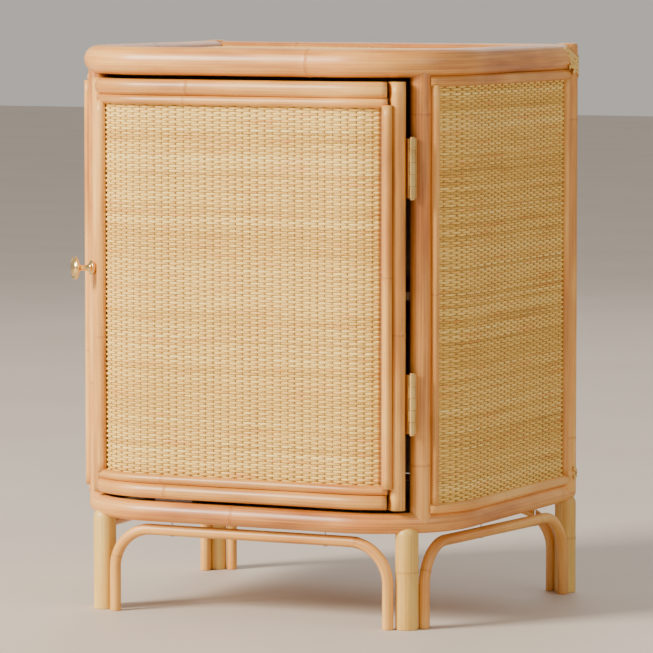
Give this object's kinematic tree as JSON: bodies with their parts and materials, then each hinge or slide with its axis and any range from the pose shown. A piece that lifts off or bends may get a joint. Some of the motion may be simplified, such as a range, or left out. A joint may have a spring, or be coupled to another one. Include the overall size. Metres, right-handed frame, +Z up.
{
  "type": "side cabinet",
  "caption": "Bedside cabinet of bent rattan poles with woven cane walls, a curved hinged door with a brass knob, a shelf inside and arched leg braces.",
  "frame": {"origin": "on the floor, at the middle of the plan box", "axes": "+Z up, the door faces -Y, +X is to the right when facing the door"},
  "size_m": [0.4564, 0.3818, 0.6],
  "materials": {
    "rattan_pole": "clear satin lacquer over peeled rattan pole",
    "rattan_cane": "clear satin lacquer over thin rattan cane",
    "beading": "clear satin lacquer over half-round rattan beading",
    "weave": "natural woven rattan core, unfinished",
    "board": "plywood with a light matt finish",
    "binding": "split cane skin",
    "brass": "polished and lacquered",
    "steel": "zinc plated",
    "catch_plastic": "moulded"
  },
  "bodies": {
    "cabinet": {"top_hoop": "rattan_pole", "bottom_hoop": "rattan_pole", "top_back_rail": "rattan_pole", "bottom_back_rail": "rattan_pole", "rear_left_post": "rattan_pole", "rear_right_post": "rattan_pole", "front_left_post": "rattan_pole", "front_right_post": "rattan_pole", "front_left_leg": "rattan_pole", "front_right_leg": "rattan_pole", "rear_left_leg": "rattan_pole", "rear_right_leg": "rattan_pole", "front_arch": "rattan_cane", "back_arch": "rattan_cane", "left_arch": "rattan_cane", "right_arch": "rattan_cane", "left_side_beading": "beading", "right_side_beading": "beading", "back_beading": "beading", "top_weave": "weave", "left_side_weave": "weave", "right_side_weave": "weave", "back_weave": "weave", "top_panel": "board", "bottom_panel": "board", "shelf": "board", "shelf_cleats": "board", "left_side_panel": "board", "right_side_panel": "board", "back_panel": "board", "corner_bindings": "binding", "upper_hinge_frame_leaf": "brass", "upper_hinge_pin": "brass", "lower_hinge_frame_leaf": "brass", "lower_hinge_pin": "brass", "frame_hinge_screws": "brass", "arch_pins": "steel", "catch_body": "catch_plastic"},
    "door": {"door_top_rail": "beading", "door_bottom_rail": "beading", "door_hinge_stile": "beading", "door_latch_stile": "beading", "door_beading": "beading", "door_panel": "board", "door_weave": "weave", "upper_hinge_door_leaf": "brass", "lower_hinge_door_leaf": "brass", "door_hinge_screws": "brass", "knob": "brass", "knob_screw": "steel", "catch_plate": "steel"}
  },
  "joints": [
    {"name": "door_hinge", "type": "hinge", "parent": "cabinet", "child": "door", "pos_m": [0.18689, -0.16158, 0.356], "axis": [0, 0, 1], "range_deg": [0, 105]}
  ]
}
